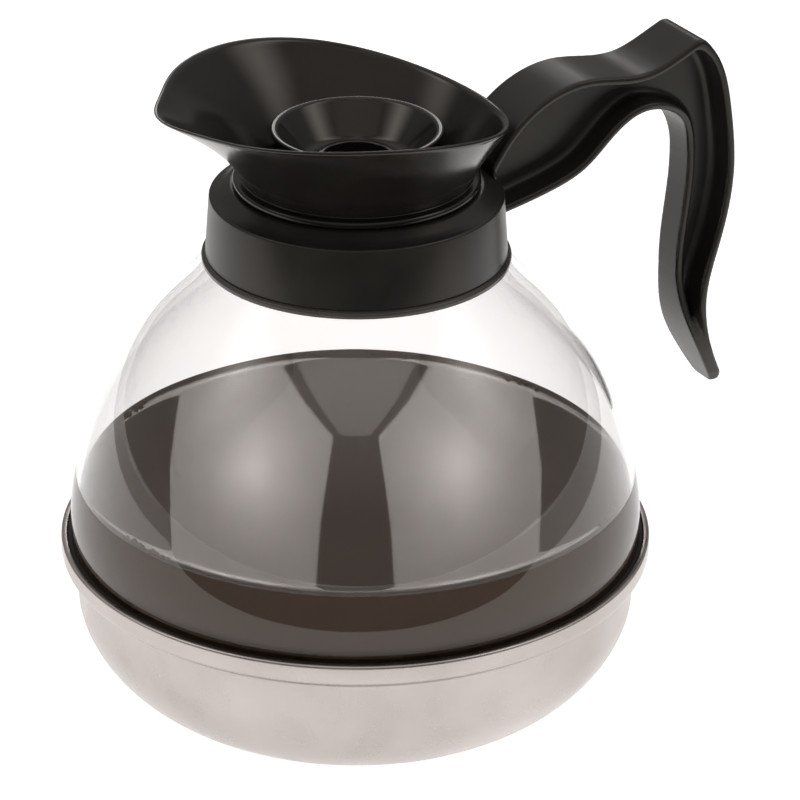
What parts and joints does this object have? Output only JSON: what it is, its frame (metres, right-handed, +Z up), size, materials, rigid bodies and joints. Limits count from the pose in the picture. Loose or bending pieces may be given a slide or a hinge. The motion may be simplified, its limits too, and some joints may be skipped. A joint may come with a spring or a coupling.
{
  "type": "coffee decanter",
  "caption": "Coffee decanter: clear domed bowl on a steel base, black collar with a hooked handle, flared pouring funnel with a lip and a lift-out brew-through cup.",
  "frame": {"origin": "centre of the underside of the steel base, on the axis of the bowl", "axes": "+Z up the axis of the bowl; +X towards the handle; the pouring lip points along -X; both sides of the XZ plane are alike"},
  "size_m": [0.2001, 0.165, 0.1797],
  "materials": {
    "steel": "satin, fine spun lines",
    "clear": "clear, polished",
    "rubber": "matt",
    "black_satin": "satin",
    "black_gloss": "gloss"
  },
  "bodies": {
    "decanter": {"base_pan": "steel", "base_gasket": "rubber", "bowl": "clear", "shoulder_seal": "rubber", "neck_seal": "rubber", "handle_ring": "black_satin"},
    "funnel_seal_body": {"funnel_ring": "rubber"},
    "funnel_body": {"funnel": "black_gloss"},
    "cup_body": {"brew_cup": "black_gloss"}
  },
  "joints": [
    {"name": "funnel_lift", "type": "slide", "parent": "decanter", "child": "funnel_seal_body", "axis": [0, 0, 1], "range_m": [0, 0.06]},
    {"name": "funnel_turn", "type": "hinge", "parent": "funnel_seal_body", "child": "funnel_body", "pos_m": [0, 0, 0.14], "axis": [0, 0, 1], "range_deg": [-180, 180]},
    {"name": "cup_lift", "type": "slide", "parent": "funnel_body", "child": "cup_body", "axis": [0, 0, 1], "range_m": [0, 0.05]}
  ]
}
